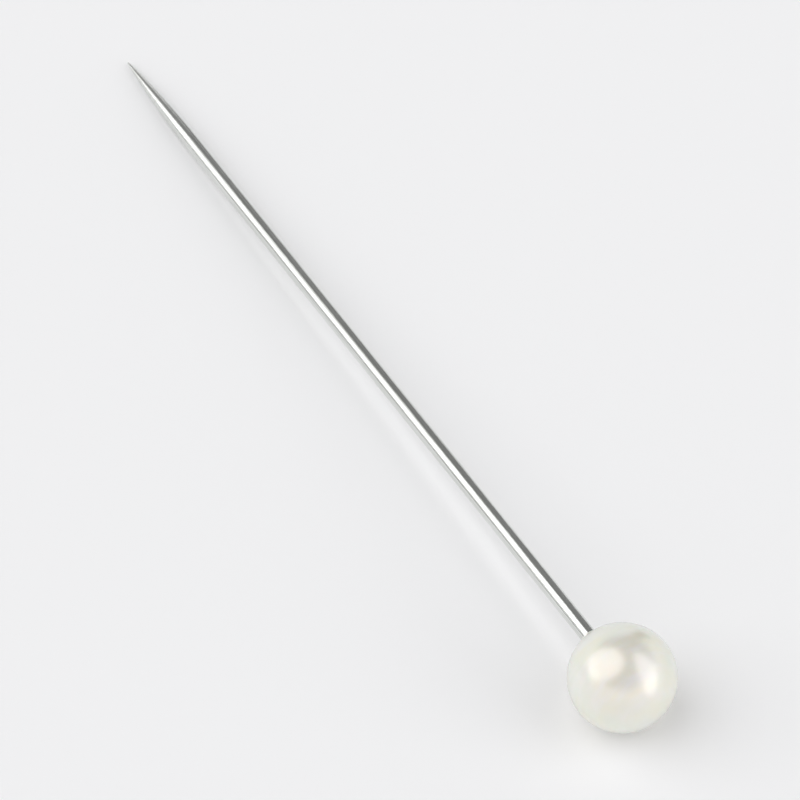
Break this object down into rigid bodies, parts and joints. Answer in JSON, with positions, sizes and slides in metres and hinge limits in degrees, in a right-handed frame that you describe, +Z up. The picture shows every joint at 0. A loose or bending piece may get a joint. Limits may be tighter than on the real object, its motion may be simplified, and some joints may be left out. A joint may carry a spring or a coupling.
{
  "type": "pearl-headed straight pin",
  "caption": "Dressmaker's straight pin: a thin steel wire with a ground point and a round pearl-finished head, to hold cloth together and be pushed and found by its head.",
  "frame": {"origin": "on the surface that the pin lies on, under the middle of its length", "axes": "+X along the lying pin, from its head towards its point, and +Z up"},
  "size_m": [0.038, 0.004, 0.004],
  "materials": {
    "plated_wire": "bright nickel-plated drawn steel wire, with a ground and polished point",
    "pearl_plastic": "ivory pearl lacquer, smooth and lustrous"
  },
  "bodies": {
    "root": {"pin_shaft": "plated_wire", "pearl_head": "pearl_plastic"}
  },
  "joints": []
}
